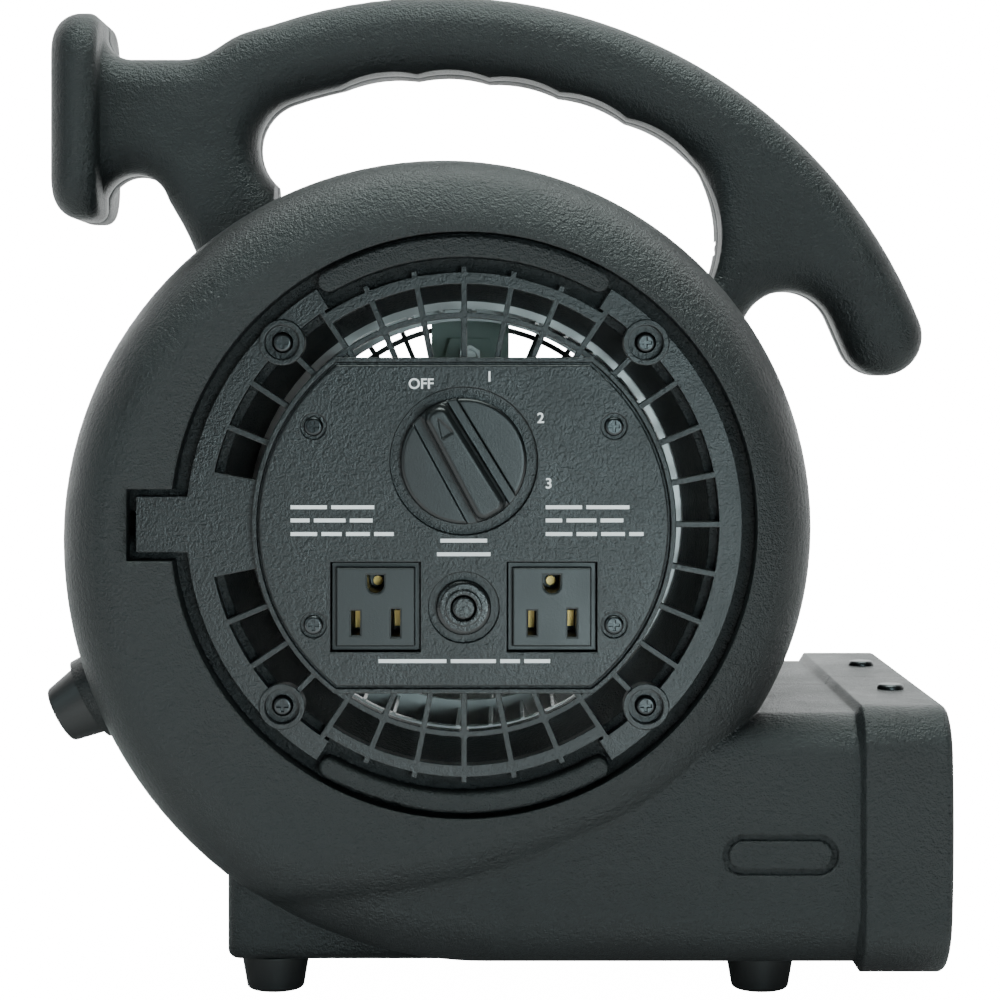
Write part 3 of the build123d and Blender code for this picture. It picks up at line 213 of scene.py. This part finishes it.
# ---------------------------------------------------------------- printing on the panel
def keep(mesh, name, material, body="housing"):
    """Links a mesh as a piece of the object on one body."""
    piece = bpy.data.objects.new(name, mesh)
    mesh.materials.append(material)
    bpy.context.collection.objects.link(piece)
    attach(piece, body)
    return piece


def dial_mark(text, angle):
    """A dial position's mark, centred at an angle clockwise from straight up."""
    curve = bpy.data.curves.new("mark", "FONT")
    curve.body = text
    curve.size = DIAL_HEIGHT
    curve.extrude = 0.00003
    curve.offset = 0.00008
    curve.align_x = "CENTER"
    curve.align_y = "CENTER"
    holder = bpy.data.objects.new("mark", curve)
    mesh = bpy.data.meshes.new_from_object(holder)
    bpy.data.objects.remove(holder)
    across = AXIS_X + DIAL_RADIUS * math.sin(math.radians(angle))
    up = AXIS_Z + KNOB_UP + DIAL_RADIUS * math.cos(math.radians(angle))
    place = Matrix.Translation((across, PANEL_FRONT - PRINT_PROUD, up))
    mesh.transform(place @ Matrix.Rotation(math.pi / 2, 4, "X"))
    keep(mesh, "dial_mark_" + text.lower(), PRINT)


for text, angle in (("OFF", -29), ("1", 17), ("2", 61), ("3", 105)):
    dial_mark(text, angle)

# Rows of plain bars in place of printed notes: (left end across, up, bar lengths), in mm from the axis
BAR_ROWS = [
    (-54.9, 5.9, (11.5, 13.6)),
    (-54.9, 1.7, (6.0, 10.0, 7.2)),
    (-54.9, -2.6, (8.4, 6.4, 7.5, 6.2)),
    (26.0, 5.9, (11.5, 13.6)),
    (26.0, 1.7, (5.2, 9.4, 7.2)),
    (26.0, -2.6, (8.4, 6.4, 7.5, 4.5)),
    (-7.4, -4.7, (14.8,)),
    (-8.5, -9.0, (17.0,)),
    (-27.0, -42.9, (21.5, 14.3, 6.2, 8.2)),
]


def note_bars():
    work = bmesh.new()
    for left, up, lengths in BAR_ROWS:
        for length in lengths:
            low, high, right = up - BAR_HALF, up + BAR_HALF, left + length
            corners = [(left, low), (right, low), (right, high), (left, high)]
            front = [
                work.verts.new((AXIS_X + x / 1000, PANEL_FRONT - BAR_PROUD, AXIS_Z + z / 1000))
                for x, z in corners
            ]
            work.faces.new(front)
            left += length + BAR_GAP
    grown = bmesh.ops.extrude_face_region(work, geom=work.faces[:])
    moved = [item for item in grown["geom"] if isinstance(item, bmesh.types.BMVert)]
    bmesh.ops.translate(work, verts=moved, vec=(0, BAR_THICK, 0))
    bmesh.ops.recalc_face_normals(work, faces=work.faces[:])
    mesh = bpy.data.meshes.new("note_bars")
    work.to_mesh(mesh)
    work.free()
    keep(mesh, "note_bars", PRINT)


note_bars()


# ---------------------------------------------------------------- floor and light
def glow(name, cast, near, shown):
    """A pale material that looks evenly white but lights the object less: cast behind it, near in front."""
    look = Nodes(name)
    split = look.add("ShaderNodeSeparateXYZ")
    look.join(look.place, split.inputs[0])
    behind = look.ramp(split.outputs["Y"], 0, cast, 0.25, 1.0)
    shifted = look.add("ShaderNodeMath", operation="ADD")
    look.join(split.outputs["Y"], shifted.inputs[0])
    shifted.inputs[1].default_value = FLOOR_NEAR_MIDDLE
    across = look.add("ShaderNodeMath", operation="ABSOLUTE")
    look.join(shifted.outputs[0], across.inputs[0])
    in_front = look.ramp(across.outputs[0], near, 0, 0.25, 0.5)
    both = look.add("ShaderNodeMath", operation="ADD")
    look.join(behind, both.inputs[0])
    look.join(in_front, both.inputs[1])
    path = look.add("ShaderNodeLightPath")
    strength = look.tree.nodes.new("ShaderNodeMix")
    look.join(path.outputs["Is Camera Ray"], strength.inputs[0])
    look.join(both.outputs[0], strength.inputs[2])
    strength.inputs[3].default_value = shown
    look.join(strength.outputs[0], look.shader.inputs["Emission Strength"])
    look.shader.inputs["Emission Color"].default_value = (1, 1, 1, 1)
    tone = look.tint(look.ramp(look.noise(3), 0, 1), (0.48, 0.48, 0.48), (0.5, 0.5, 0.5))
    look.join(tone, look.shader.inputs["Base Color"])
    look.shader.inputs["Roughness"].default_value = 0.8
    return look.material


def make_floor():
    work = bmesh.new()
    profile = [(FLOOR_FRONT, 0), (FLOOR_MIDDLE, 0), (COVE_START, 0)]
    for turn in range(10, 91, 10):
        out = COVE_START + COVE_RADIUS * math.sin(math.radians(turn))
        profile.append((out, COVE_RADIUS - COVE_RADIUS * math.cos(math.radians(turn))))
    profile.append((COVE_START + COVE_RADIUS, BACKDROP_TOP))
    rows = [[work.verts.new((x, y, z)) for x in (-FLOOR_HALF, FLOOR_HALF)] for y, z in profile]
    for near, far in zip(rows, rows[1:]):
        work.faces.new((near[0], near[1], far[1], far[0])).smooth = True
    mesh = bpy.data.meshes.new("floor")
    work.to_mesh(mesh)
    work.free()
    floor = bpy.data.objects.new("floor", mesh)
    mesh.materials.append(glow("floor", FLOOR_BEHIND, FLOOR_NEAR, FLOOR_SHOWN))
    bpy.context.collection.objects.link(floor)


def area(name, place, target, size, power, height=None, color=(0.74, 0.96, 1.0)):
    data = bpy.data.lights.new(name, "AREA")
    data.shape = "RECTANGLE"
    data.size = size
    data.size_y = height or size
    data.energy = power
    data.color = color
    light = bpy.data.objects.new(name, data)
    light.location = place
    light.rotation_euler = (Vector(target) - Vector(place)).to_track_quat("-Z", "Y").to_euler()
    bpy.context.collection.objects.link(light)


def make_light():
    world = bpy.data.worlds.new("studio")
    world.use_nodes = True
    world.node_tree.nodes["Background"].inputs["Color"].default_value = (0.9, 0.95, 1.0, 1)
    world.node_tree.nodes["Background"].inputs["Strength"].default_value = 0.03
    bpy.context.scene.world = world
    area("top", (0.1, -0.1, 1.5), (0, 0, 0.2), 1.2, 34, 0.8, (0.86, 1.0, 0.96))
    area("front_left", (-1.35, -0.9, 0.75), (0, 0, 0.15), 0.8, 6)
    area("front_right", (0.34, -1.75, 0.02), (0.04, 0, 0.12), 0.42, 18)


make_camera()
make_floor()
make_light()
